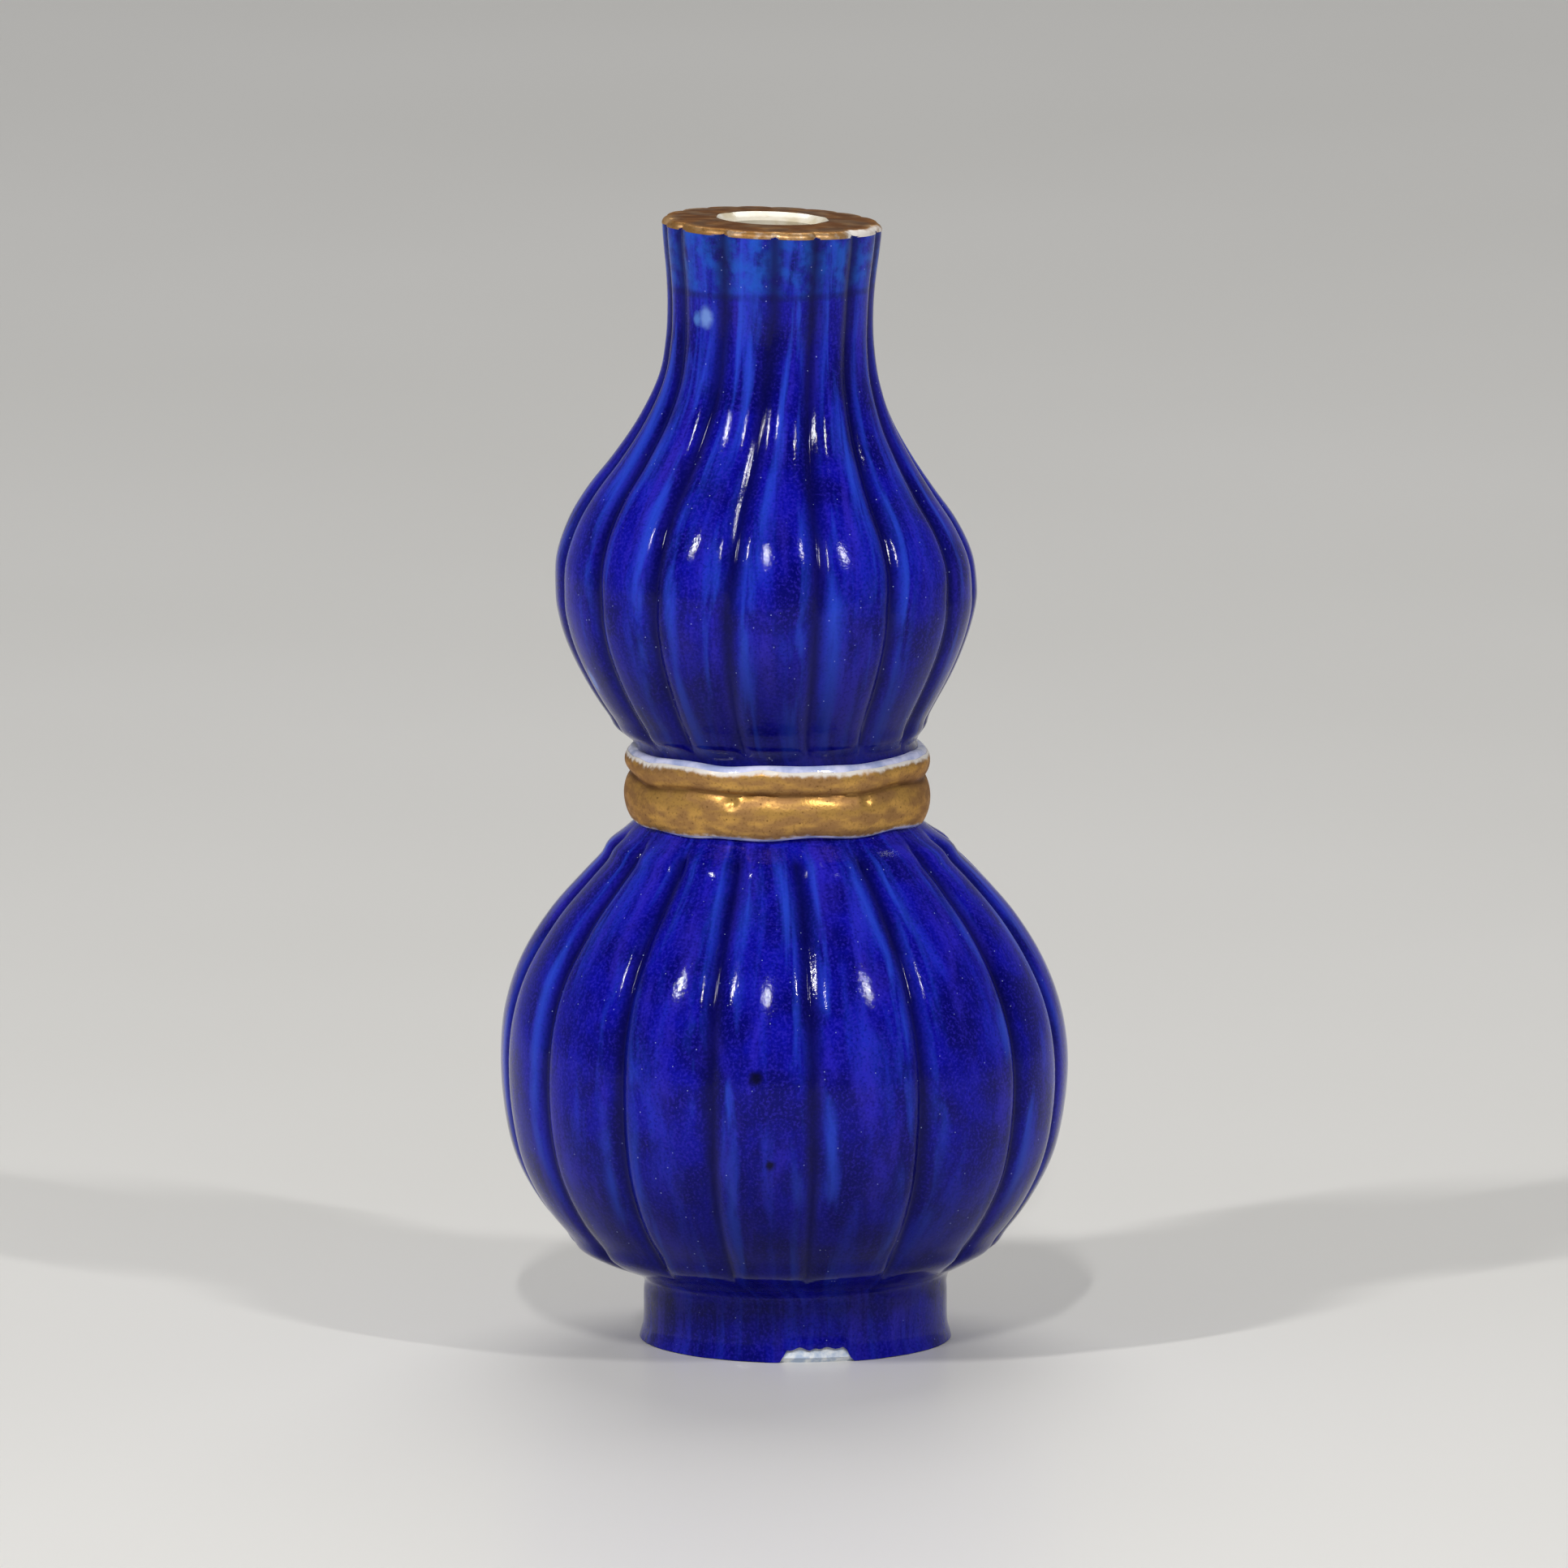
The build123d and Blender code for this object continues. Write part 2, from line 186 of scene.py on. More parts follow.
# Outlines from bottom to top of each stretch. Each point is four shares, which run from
# the stretch's lower end to its upper end: of height, of radius, of rib depth, of lean.
cove_shares = [
    (0.0, 0.0, 0.0, 0.0),
    (0.45, 0.26, 0.0, 0.5),
]
lower_under_shares = [
    (0.0, 0.0, 0.0, 0.0),
    (0.10, 0.28, 0.75, 0.4),
    (0.27, 0.59, 0.95, 1.0),
    (0.49, 0.84, 1.0, 1.0),
    (0.72, 0.96, 1.0, 1.0),
    (1.0, 1.0, 1.0, 1.0),
]
lower_over_shares = [
    (0.20, 0.04, 0.0, 0.15),
    (0.40, 0.155, 0.0, 0.3),
    (0.60, 0.36, 0.0, 0.3),
    (0.77, 0.61, 0.15, 0.35),
    (0.88, 0.80, 0.45, 0.6),
    (0.95, 0.92, 0.9, 0.9),
    (1.0, 1.0, 1.0, 1.0),
]
# How far each groove stands from its even place, as a share of one rib's width
lower_groove_shares = [
    -0.10, -0.05, 0.15, 0.05, -0.06, 0.04, 0.09, -0.05,
    0.03, -0.08, 0.05, -0.04, 0.04, 0.02, 0.035, -0.04,
]

Level = namedtuple("Level", "height radius groove lean turn wall")


def blend(low, high, share):
    return low + (high - low) * share


def ease(low, high, value):
    """0 below low, 1 above high and a smooth rise between."""
    share = min(max((value - low) / (high - low), 0.0), 1.0)
    return share * share * (3 - 2 * share)


def bump_at(place, width, value):
    """A smooth bump, 1 at its place and fading over a width."""
    return exp(-(((value - place) / width) ** 2))


def stretch(shares, heights, radii, grooves, leans, walls, turns=(0.0, 0.0)):
    """The levels of one stretch. Each pair holds its lower end and its upper end."""
    levels = []
    for up, out, rib, aside in shares:
        level = Level(
            height=blend(*heights, up),
            radius=blend(*radii, out),
            groove=blend(*grooves, rib),
            lean=blend(*leans, aside),
            turn=blend(*turns, up),
            wall=blend(*walls, up),
        )
        levels.append(level)
    return levels


def level_at(levels, height):
    """The level at a height, on smooth curves through the levels given."""
    place = 0
    while place < len(levels) - 2 and levels[place + 1].height < height:
        place += 1
    low, high = levels[place], levels[place + 1]
    before, after = levels[max(place - 1, 0)], levels[min(place + 2, len(levels) - 1)]
    span = high.height - low.height
    t = min(max((height - low.height) / span, 0.0), 1.0)
    values = []
    for a, b, c, d in zip(before, low, high, after):
        rise = (c - a) / (high.height - before.height) * span
        fall = (d - b) / (after.height - low.height) * span
        curve = (2 * t**3 - 3 * t**2 + 1) * b + (t**3 - 2 * t**2 + t) * rise
        curve += (3 * t**2 - 2 * t**3) * c + (t**3 - t**2) * fall
        values.append(curve)
    return Level(*values)


def slope_at(levels, height, reach=0.05):
    """How steeply the outline goes outwards at a height, as an angle from upright."""
    low = level_at(levels, max(height - reach, levels[0].height))
    high = level_at(levels, min(height + reach, levels[-1].height))
    return atan2(high.radius - low.radius, high.height - low.height)


def rows_between(levels, low, high, step):
    """Heights from low to high whose points on the outline lie about a step apart."""
    heights = [low]
    while heights[-1] < high - step / 2:
        heights.append(heights[-1] + step * cos(slope_at(levels, heights[-1])))
    return heights[:-1] + [high]


def coat_profile(levels, low, high, thickness, step):
    """A ring of points, radius and height, round a coat of glaze with rolled ends."""
    outer = []
    for height in rows_between(levels, low, high, step):
        slope = slope_at(levels, height)
        rolled = min(height - low, high - height, thickness) / thickness
        depth = thickness * (2 * rolled - rolled**2) ** 0.5
        radius = level_at(levels, height).radius
        outer.append((radius + depth * cos(slope), height - depth * sin(slope)))
    inner = []
    for height in rows_between(levels, low + thickness / 4, high - thickness / 4, 3 * step):
        inner.append((level_at(levels, height).radius - thickness / 4, height))
    return outer + inner[::-1]


def lathe(profile, columns, closed=True):
    """Turns a profile of points, each a radius and a height, about the upright axis."""
    mesh = bmesh.new()
    chain = [mesh.verts.new((radius, 0.0, height)) for radius, height in profile]
    for start, end in zip(chain, chain[1:] + chain[:1] if closed else chain[1:]):
        mesh.edges.new((start, end))
    geometry = mesh.verts[:] + mesh.edges[:]
    bmesh.ops.spin(
        mesh, geom=geometry, axis=(0, 0, 1), angle=tau, steps=columns, use_merge=True
    )
    bmesh.ops.remove_doubles(mesh, verts=mesh.verts, dist=thinnest)
    bmesh.ops.recalc_face_normals(mesh, faces=mesh.faces)
    return mesh


def groove_turn(first, shares, number):
    """The angle of a groove from the front, counted towards +X. Numbers may run past a lap."""
    return radians(first) + tau * (number + shares[number % rib_count]) / rib_count


def hand_wobble(spot, size, depth, seed=0.0):
    """The unevenness that hands leave in clay, as a length within plus or minus depth."""
    return depth * noise.noise(spot / size + Vector((seed, seed, seed)))


def press_ribs(mesh, levels, groove_angle, rib_ends, settled_shade):
    """Presses ribs into a turned coat, leans it, and marks where its glaze lies thin or thick.
    By height, rib_ends gives how far a rib's crest hangs over its ends, and settled gives the
    share of thick glaze that has run down, which also stands for painted shade low on the
    bulb. The run of a point is its place in millimetres with the ribs straightened on a
    cylinder, so that streaks follow them."""
    pool_and_shade = mesh.verts.layers.float.new("pool_and_shade")
    thin = mesh.verts.layers.float.new("thin")
    run = mesh.verts.layers.float_vector.new("run")
    for vertex in mesh.verts:
        x, y, height = vertex.co
        turn = (atan2(x, -y) / tau) % 1 * rib_count
        number = int(turn)
        part = turn - number
        part -= column_crowding * sin(tau * part) / tau
        level = level_at(levels, height)
        start = groove_angle(number, level.turn)
        end = groove_angle(number + 1, level.turn)
        angle = blend(start, end, part)
        half = (end - start) * level.radius / 2
        away = min(part, 1 - part) * 2 * half
        near = 1 - away / half
        crease = exp(-((away / crease_width) ** 2))
        depth = level.groove * blend(near**2, crease, crease_share)
        overhang = rib_ends(height) * (1 - near**4)
        radius = hypot(x, y) - depth + overhang
        where = Vector((radius * sin(angle), -radius * cos(angle), height))
        radius += hand_wobble(where, *coat_wobble) - coat_sinking
        tilt = radians(rim_tilt) * level.turn
        upright = radius * sin(angle)
        pressed = min(level.groove / neck_rib_depth, 1.0)
        vertex[pool_and_shade] = max(pressed * exp(-((away / pool_width) ** 2)), settled_shade(height))
        vertex[thin] = pressed * bump_at(shoulder_place, shoulder_width, away)
        straight = tau * (number + part) / rib_count
        vertex[run] = (run_radius * sin(straight), run_radius * cos(straight), height)
        vertex.co = (
            level.lean + upright * cos(tilt),
            -radius * cos(angle),
            height - upright * sin(tilt) + back_tilt_share * level.turn * radius * cos(angle),
        )


def show(name, mesh, material, crease=50):
    """Makes a finished mesh a piece in the scene, with smooth faces up to its creases."""
    bmesh.ops.scale(mesh, vec=(mm, mm, mm), verts=mesh.verts)
    for face in mesh.faces:
        face.smooth = True
    for edge in mesh.edges:
        edge.smooth = edge.calc_face_angle(0.0) < radians(crease)
    data = bpy.data.meshes.new(name)
    mesh.to_mesh(data)
    mesh.free()
    data.materials.append(material)
    piece = bpy.data.objects.new(name, data)
    bpy.context.scene.collection.objects.link(piece)
    return piece


# How the ribs are pressed, and where their glaze gathers. A wobble is the size of its
# swellings and their depth, and where a third number follows, the seed of its noise.
thinnest = 0.001
coat_wobble = (9.0, 0.08)
coat_sinking = 0.05
column_crowding = 0.5
crease_width = 1.15
crease_share = 0.45
pool_width = 1.25
shoulder_place = 2.5
shoulder_width = 1.0
run_radius = 30.0
rim_tilt = 2.0
back_tilt_share = 0.012
row_step = 0.75
columns_per_rib = 24

foot_middle_height = (bare_edge_height + foot_flare_height) / 2
foot_levels = [
    Level(bare_edge_height, foot_edge_radius, 0.0, foot_lean, 0.0, bulb_wall),
    Level(foot_middle_height, foot_middle_radius, 0.0, foot_lean, 0.0, bulb_wall),
    Level(foot_flare_height, foot_side_radius, 0.0, foot_lean, 0.0, bulb_wall),
    Level(foot_height - cove_height / 2, foot_side_radius, 0.0, foot_lean, 0.0, bulb_wall),
]
lower_levels = stretch(
    cove_shares,
    heights=(foot_height, cove_level),
    radii=(foot_side_radius, cove_radius),
    grooves=(0.0, 0.0),
    leans=(foot_lean, cove_lean),
    walls=(bulb_wall, bulb_wall),
)
lower_levels += stretch(
    lower_under_shares,
    heights=(cove_level, lower_wide_level),
    radii=(cove_radius, lower_bulb_radius),
    grooves=(cove_rib_depth, lower_rib_depth),
    leans=(cove_lean, bulb_lean),
    walls=(bulb_wall, bulb_wall),
)
lower_levels += stretch(
    lower_over_shares,
    heights=(lower_wide_level, band_bottom_level),
    radii=(lower_bulb_radius, waist_radius),
    grooves=(lower_rib_depth, 0.0),
    leans=(bulb_lean, waist_lean),
    walls=(bulb_wall, waist_radius - throat_radius),
)
tucked_level = band_bottom_level + tucked_height
tucked_collar = Level(tucked_level, waist_radius, 0.0, waist_lean, 0.0, bulb_wall)
lower_outline = foot_levels + lower_levels + [tucked_collar]

# The crests of the ribs hang over their ends. Towards the foot the glaze is darker: thick
# glaze has run down there, and painted shade darkens the cove under the bulb
lower_overhang = 0.8
low_end_level = cove_level + 1.3
low_end_width = 1.5
high_end_level = band_bottom_level - 3.4
high_end_width = 1.3
settled_shade_on_foot = 0.3
settled_shade_in_cove = 0.75
settled_shade_begins = foot_height - 1.5
settled_shade_full_level = cove_level + 2.0
settled_shade_end_level = cove_level + 30.0


def lower_groove(number, turn):
    return groove_turn(lower_first_groove, lower_groove_shares, number)


def lower_rib_ends(height):
    low_end = bump_at(low_end_level, low_end_width, height)
    high_end = bump_at(high_end_level, high_end_width, height)
    return lower_overhang * (low_end + high_end)


def lower_settled_shade(height):
    share = blend(settled_shade_on_foot, settled_shade_in_cove, ease(settled_shade_begins, cove_level, height))
    return share * (1 - ease(settled_shade_full_level, settled_shade_end_level, height))


profile = coat_profile(lower_outline, bare_edge_height, tucked_level, glaze_thickness, row_step)
coat = lathe(profile, rib_count * columns_per_rib)
press_ribs(coat, lower_outline, lower_groove, lower_rib_ends, lower_settled_shade)

# The lower edge of the coat sags in a thick, wandering roll, and has broken off at the
# front, where the edge of the flake is ragged
flake_angle = radians(8.0)
flake_half_angle = radians(14.0)
flake_height = 1.9
flake_wobble = (1.3, 0.45)
flake_corner_share = 0.25
sag_wobble = (4.0, 0.08)
sag_height = 0.6
sag_fade_level = foot_flare_height + 1.5
edge_swell = 0.3
swell_fade_level = bare_edge_height + 1.0
for vertex in coat.verts:
    x, y, height = vertex.co
    angle = atan2(x - foot_lean, -y)
    ragged = hand_wobble(Vector((angle * foot_edge_radius, 0.0, 0.0)), *flake_wobble)
    from_end = 1 - abs(angle - flake_angle) / flake_half_angle
    inside_flake = ease(0.0, flake_corner_share, from_end)
    rise = inside_flake * (flake_height + ragged) + hand_wobble(vertex.co, *sag_wobble) - sag_height
    vertex.co.z += rise * (1 - ease(bare_edge_height, sag_fade_level, height))
    swell = edge_swell * (1 - ease(bare_edge_height, swell_fade_level, height))
    vertex.co.xy += swell * (1 - inside_flake) * Vector((sin(angle), -cos(angle)))

# Cobalt glaze: a glassy feldspar glaze with cobalt oxide, fired once on the white body.
# Glass over white gives a deep blue where it lies thick, and milky violet and royal blue
# where it has run thin down the ribs. Its skin is glossy, with the pits of orange peel.
glaze_deep = "#030468"
glaze_body = "#0a0b9a"
glaze_royal = "#2031c4"
glaze_violet = "#3229bf"
glaze_light = "#284bcc"
glaze_pale = "#1c5cc8"
pooled_glaze_and_shade = "#030343"
iron_colour = "#02031a"
speck_and_sparkle_colour = "#a9b8f2"
cloud_size = 7.0
streak_width = 2.9
streak_length = 17.0
fine_streak_width = 1.3
fine_streak_length = 7.0
violet_width = 1.4 * streak_width
# The mottle of fine bubbles and the bright pinholes, whose brightness is partly painted
# sparkle, are finer on a real glaze, and are drawn as coarse as they need to show. Orange peel has its
# real size.
mottle_size = 0.4
speck_spacing = 1.7
speck_radius = 0.11
speck_strength = 0.55
peel_size = 0.6
peel_depth = 0.018
pit_size = 0.25
pit_depth = 0.009
ripple_size = 4.5
ripple_depth = 0.04
thin_strength = 0.68
pool_and_shade_strength = 0.85
pale_zone_level = 151.5
pale_zone_rise = 3.0
pale_patch_size = 2.4
joint_line_level = 150.7
joint_line_core = 0.1
joint_line_reach = 0.8
joint_line_strength = 0.45


def run_of(material, width, length, shift):
    """Noise drawn out along the ribs, on the run that the coat's points carry in millimetres."""
    run = add(material, "Attribute", attribute_name="run").outputs["Vector"]
    squeeze = (1 / width, 1 / width, 1 / length)
    drawn = {"Vector": run, "Location": (shift, shift, 0.0), "Scale": squeeze}
    drawn = add(material, "Mapping", drawn, vector_type="POINT").outputs[0]
    streaks = {"Vector": drawn, "Scale": 1.0, "Detail": 4.0, "Distortion": 0.4}
    return add(material, "TexNoise", streaks).outputs[0]


def lay_colours(material, colour, layers):
    """Lays colours over one another and gives the last. Each layer is a colour, the value it
    follows, where on that value it begins and ends to change, and its share at both ends."""
    for over, value, begin, end, before, after in layers:
        share = {"Value": value, "From Min": begin, "From Max": end, "To Min": before, "To Max": after}
        share = add(material, "MapRange", share, interpolation_type="SMOOTHSTEP").outputs[0]
        paint = {0: share, 6: colour, 7: linear(over)}
        colour = add(material, "Mix", paint, data_type="RGBA").outputs[2]
    return colour


cobalt = start_material("cobalt_glaze")
place = add(cobalt, "TexCoord").outputs["Object"]
clouds, mottle, patches = [
    add(cobalt, "TexNoise", {"Vector": place, "Scale": 1 / (size * mm), "Detail": detail}).outputs[0]
    for size, detail in ((cloud_size, 4.0), (mottle_size, 2.0), (pale_patch_size, 4.0))
]
broad_run = run_of(cobalt, streak_width, streak_length, 0.0)
violet_run = run_of(cobalt, violet_width, streak_length, 17.0)
fine_run = run_of(cobalt, fine_streak_width, fine_streak_length, 31.0)
layers = [
    (glaze_body, clouds, 0.36, 0.62, 0.0, 1.0),
    (glaze_royal, broad_run, 0.46, 0.72, 0.0, 0.65),
    (glaze_violet, violet_run, 0.48, 0.74, 0.0, 0.65),
    (glaze_deep, fine_run, 0.48, 0.72, 0.0, 0.5),
    (glaze_violet, mottle, 0.46, 0.7, 0.0, 0.4),
    (glaze_deep, mottle, 0.3, 0.46, 0.5, 0.0),
]

# Thin glaze along the shoulders of the grooves, in broken lines
thin = add(cobalt, "Attribute", attribute_name="thin").outputs["Fac"]
thin = add(cobalt, "Math", {0: thin, 1: thin_strength}, operation="MULTIPLY").outputs[0]
layers += [(glaze_light, broad_run, 0.44, 0.66, 0.0, thin)]

# The mouth, above the line of its joint, was dipped last: its glaze is pale and patchy
level = add(cobalt, "SeparateXYZ", {0: place}).outputs["Z"]
waved = {0: clouds, 1: pale_zone_rise * mm, 2: level}
waved = add(cobalt, "Math", waved, operation="MULTIPLY_ADD").outputs[0]
pale = {"Value": patches, "From Min": 0.36, "From Max": 0.66, "To Min": 0.05, "To Max": 0.7}
pale = add(cobalt, "MapRange", pale, interpolation_type="SMOOTHSTEP").outputs[0]
pale_zone_full = pale_zone_level + pale_zone_rise
layers += [(glaze_pale, waved, pale_zone_level * mm, pale_zone_full * mm, 0.0, pale)]
line = add(cobalt, "Math", {0: level, 1: joint_line_level * mm}, operation="SUBTRACT").outputs[0]
line = {
    "Value": add(cobalt, "Math", {0: line}, operation="ABSOLUTE").outputs[0],
    "From Min": joint_line_core * mm,
    "From Max": joint_line_reach * mm,
    "To Min": joint_line_strength,
    "To Max": 0.0,
}
line = add(cobalt, "MapRange", line, interpolation_type="SMOOTHSTEP").outputs[0]
layers += [(pooled_glaze_and_shade, clouds, 0.4, 0.6, 0.0, line)]
colour = lay_colours(cobalt, linear(glaze_deep), layers)

# Thick glaze in the grooves, and low on each bulb thick glaze darkened further by painted shade
pool_and_shade = add(cobalt, "Attribute", attribute_name="pool_and_shade").outputs["Fac"]
pool_and_shade = add(cobalt, "Math", {0: pool_and_shade, 1: pool_and_shade_strength}, operation="MULTIPLY").outputs[0]
paint = {0: pool_and_shade, 6: colour, 7: linear(pooled_glaze_and_shade)}
colour = add(cobalt, "Mix", paint, data_type="RGBA").outputs[2]

# Pale pinholes, brightened as a painted sparkle of light
specks_and_sparkle = add(cobalt, "TexVoronoi", {"Vector": place, "Scale": 1 / (speck_spacing * mm)})
specks_and_sparkle = specks_and_sparkle.outputs["Distance"]
speck_share = speck_radius / speck_spacing
layers = [(speck_and_sparkle_colour, specks_and_sparkle, speck_share / 2, speck_share, speck_strength, 0.0)]

# Spots at a place, with a radius, a stretch upwards and a colour: iron that melted out of
# the clay is nearly black, and glaze that has drawn back from a spot is pale
spot_edge_size = 0.9
spot_edge_depth = 0.15
spots = [
    ((-4.0, -39.8, 43.8), 1.35, 1.0, iron_colour),
    ((-1.9, -39.2, 31.4), 0.95, 1.0, iron_colour),
    ((-11.0, -11.3, 147.6), 1.3, 1.4, "#6f90d6"),
    ((-12.1, -10.1, 147.2), 0.9, 1.3, "#4d78c8"),
    ((-26.9, -9.7, 95.6), 1.2, 3.0, "#5a7cd8"),
]
spot_strength = 0.92
spot_core = 0.3
spot_reach = 1.15
ragged = {"Vector": place, "Scale": 1 / (spot_edge_size * mm), "Detail": 2.0}
ragged = {
    "Value": add(cobalt, "TexNoise", ragged).outputs[0],
    "From Min": 0.2,
    "From Max": 0.8,
    "To Min": -spot_edge_depth * mm,
    "To Max": spot_edge_depth * mm,
}
ragged = add(cobalt, "MapRange", ragged, interpolation_type="SMOOTHSTEP").outputs[0]
for centre, radius, length, shade in spots:
    away = {0: place, 1: [mm * step for step in centre]}
    away = add(cobalt, "VectorMath", away, operation="SUBTRACT").outputs[0]
    away = {0: away, 1: (1.0, 1.0, 1 / length)}
    away = add(cobalt, "VectorMath", away, operation="MULTIPLY").outputs[0]
    away = add(cobalt, "VectorMath", {0: away}, operation="LENGTH").outputs["Value"]
    away = add(cobalt, "Math", {0: away, 1: ragged}, operation="ADD").outputs[0]
    core, reach = spot_core * radius * mm, spot_reach * radius * mm
    layers += [(shade, away, core, reach, spot_strength, 0.0)]

# The uneven skin: orange peel, the pits in it and the slow ripple of a run glaze
normal = {}
for size, depth in ((peel_size, peel_depth), (pit_size, pit_depth), (ripple_size, ripple_depth)):
    dimples = {"Vector": place, "Scale": 1 / (size * mm), "Detail": 2.0}
    dimples = add(cobalt, "TexNoise", dimples).outputs[0]
    bump = {"Height": dimples, "Distance": depth * mm, "Strength": 1.0, **normal}
    normal = {"Normal": add(cobalt, "Bump", bump).outputs[0]}
gloss = {"Value": clouds, "From Min": 0.3, "From Max": 0.7, "To Min": 0.05, "To Max": 0.11}
surface = {
    "Base Color": lay_colours(cobalt, colour, layers),
    "Roughness": add(cobalt, "MapRange", gloss, interpolation_type="SMOOTHSTEP").outputs[0],
    "IOR": 1.45,
    "Specular IOR Level": 0.16,
    **normal,
}
end_material(cobalt, add(cobalt, "BsdfPrincipled", surface))

lower_coat = show("lower_cobalt_coat", coat, cobalt)
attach(lower_coat, "root")
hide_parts("lower_cobalt_glaze")

# Band: two strips of clay laid round the waist over its joint, pressed flat against each
# other by hand, with a clear glaze over the white clay. It shows white at both edges.
lower_strip_height = 6.4
lower_strip_depth = 1.9
upper_strip_depth = 1.7
strip_edge_depth = 0.8
clear_thickness = 0.3
clear_drift_size = 3.0
bead_roundness = 0.75
joint_sway = (14.0, 0.9, 3.0)
low_edge_sway = (9.0, 0.7, 5.0)
high_edge_sway = (8.0, 0.4, 7.0)
bead_swelling = (8.0, 0.3, 11.0)
bead_sinking = 0.1
strip_joint_level = band_bottom_level + lower_strip_height
band_columns = 384
band_step = 0.25
# Dents in the beads, and lumps where the depth is negative: angle from the front, height,
# radius and depth
band_scars = [
    (-17.7, 79.8, 0.8, 0.5),
    (36.0, 79.6, 0.65, 0.35),
    (-53.0, 79.4, 1.7, -0.3),
    (40.0, 83.2, 1.6, -0.25),
    (49.5, 78.2, 1.2, 0.3),
    (-31.0, 77.0, 2.6, 0.25),
    (8.0, 77.4, 2.4, -0.15),
]


def bead_radius(height):
    """Radius of the two beads at a height, over their clear glaze."""
    if height < strip_joint_level:
        low, high, depth = band_bottom_level, strip_joint_level, lower_strip_depth
    else:
        low, high, depth = strip_joint_level, band_top_level, upper_strip_depth
    share = min(max((height - low) / (high - low), 0.0), 1.0)
    edge = waist_radius + strip_edge_depth + clear_thickness
    return edge + (depth - strip_edge_depth) * sin(pi * share) ** bead_roundness


def lay_by_hand(mesh):
    """Makes a band uneven: its edges wander, its beads swell and are dented, and it leans
    with the waist."""
    for vertex in mesh.verts:
        x, y, height = vertex.co
        angle = atan2(x, -y)
        radius = hypot(x, y)
        around = Vector((waist_radius * sin(angle), -waist_radius * cos(angle), 0.0))
        sway = hand_wobble(around, *joint_sway)
        low_sway = hand_wobble(around, *low_edge_sway)
        high_sway = hand_wobble(around, *high_edge_sway)
        share = (height - band_bottom_level) / band_height
        height += sway * sin(pi * share) + blend(low_sway, high_sway, share)
        outside = ease(waist_radius + strip_edge_depth / 2, waist_radius + strip_edge_depth, radius)
        spot = Vector((around.x, around.y, height))
        radius += outside * (hand_wobble(spot, *bead_swelling) - bead_sinking)
        for bearing, level, width, depth in band_scars:
            away = hypot((angle - radians(bearing)) * waist_radius, height - level)
            radius -= outside * depth * bump_at(0.0, width, away)
        vertex.co = (waist_lean + radius * sin(angle), -radius * cos(angle), height)


rows = round(band_height / band_step)
heights = [band_bottom_level + band_height * row / rows for row in range(rows + 1)]
profile = [(waist_radius, band_bottom_level)]
profile += [(bead_radius(height), height) for height in heights]
profile += [(waist_radius, band_top_level)]
band = lathe(profile, band_columns)
lay_by_hand(band)


def clear_glass(name, colour, shade):
    """Clear glaze on porcelain: glossy colourless glass that shows the white body under it,
    in a colour that drifts to a shade."""
    clear = start_material(name)
    place = add(clear, "TexCoord").outputs["Object"]
    drift = {"Vector": place, "Scale": 1 / (clear_drift_size * mm), "Detail": 4.0}
    drift = add(clear, "TexNoise", drift).outputs[0]
    peel = {"Vector": place, "Scale": 1 / (peel_size * mm), "Detail": 2.0}
    peel = add(clear, "TexNoise", peel).outputs[0]
    peel = {"Height": peel, "Distance": peel_depth * mm, "Strength": 1.0}
    surface = {
        "Base Color": lay_colours(clear, linear(colour), [(shade, drift, 0.4, 0.66, 0.0, 1.0)]),
        "Normal": add(clear, "Bump", peel).outputs[0],
        "Roughness": 0.12,
        "IOR": 1.5,
    }
    end_material(clear, add(clear, "BsdfPrincipled", surface))
    return clear


# At the band, cobalt has bled into the clear glaze and gives it a cold cast
bled_white = "#d6d8f4"
bled_blue = "#a2add6"
glazed_band = show("glazed_band", band, clear_glass("bled_clear_glaze", bled_white, bled_blue))
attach(glazed_band, "root")
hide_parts("lower_band_strip", "upper_band_strip", "clear_band_glaze")

# Gilding of the band: gold powder brushed on over the glaze and fired again at low heat.
# It is burnished bright in the middle and rubbed brown elsewhere.
gilding_thickness = 0.1
white_foot_height = 0.25
white_edge_height = 0.6
gold_low = band_bottom_level + white_foot_height
gold_high = band_top_level - white_edge_height
low_brushing = (7.0, 0.35, 17.0)
high_brushing = (4.0, 0.3, 19.0)
low_rub_share = 0.6
low_rub_width = 0.45
high_rub_width = 0.75
crease_shade_width = 0.45
rows = round((gold_high - gold_low) / band_step)
heights = [blend(gold_low, gold_high, row / rows) for row in range(rows + 1)]
profile = [(bead_radius(height) + gilding_thickness, height) for height in heights]
profile += [(bead_radius(height) - gilding_thickness, height) for height in reversed(heights)]
gold_band = lathe(profile, band_columns)
rubbed = gold_band.verts.layers.float.new("rubbed")
grime_and_shade = gold_band.verts.layers.float.new("grime_and_shade")
for vertex in gold_band.verts:
    x, y, height = vertex.co
    angle = atan2(x, -y)
    around = Vector((waist_radius * sin(angle), -waist_radius * cos(angle), 0.0))
    share = (height - gold_low) / (gold_high - gold_low)
    low_edge = hand_wobble(around, *low_brushing)
    moved = height + blend(low_edge, hand_wobble(around, *high_brushing), share)
    radius = hypot(x, y) + bead_radius(moved) - bead_radius(height)
    low_rub = low_rub_share * bump_at(gold_low, low_rub_width, height)
    vertex[rubbed] = low_rub + bump_at(gold_high, high_rub_width, height)
    # Painted shade: the crease between the two beads is marked to go brown
    vertex[grime_and_shade] = bump_at(strip_joint_level, crease_shade_width, height)
    vertex.co = (radius * sin(angle), -radius * cos(angle), moved)
lay_by_hand(gold_band)

# The gold's own powder is far finer than this grain, which is as coarse as it needs to show
gold_grain_size = 0.4
gold_grain_depth = 0.02
gold_cloud_size = 3.6
gold_cloud_depth = 0.05
gold_pit_spacing = 1.5
gold_pit_strength = 0.75
gold_brush_stretch = 2.4
grime_and_shade_strength = 0.85
wear_patch_size = 1.1
bare_white = "#dcd6cf"


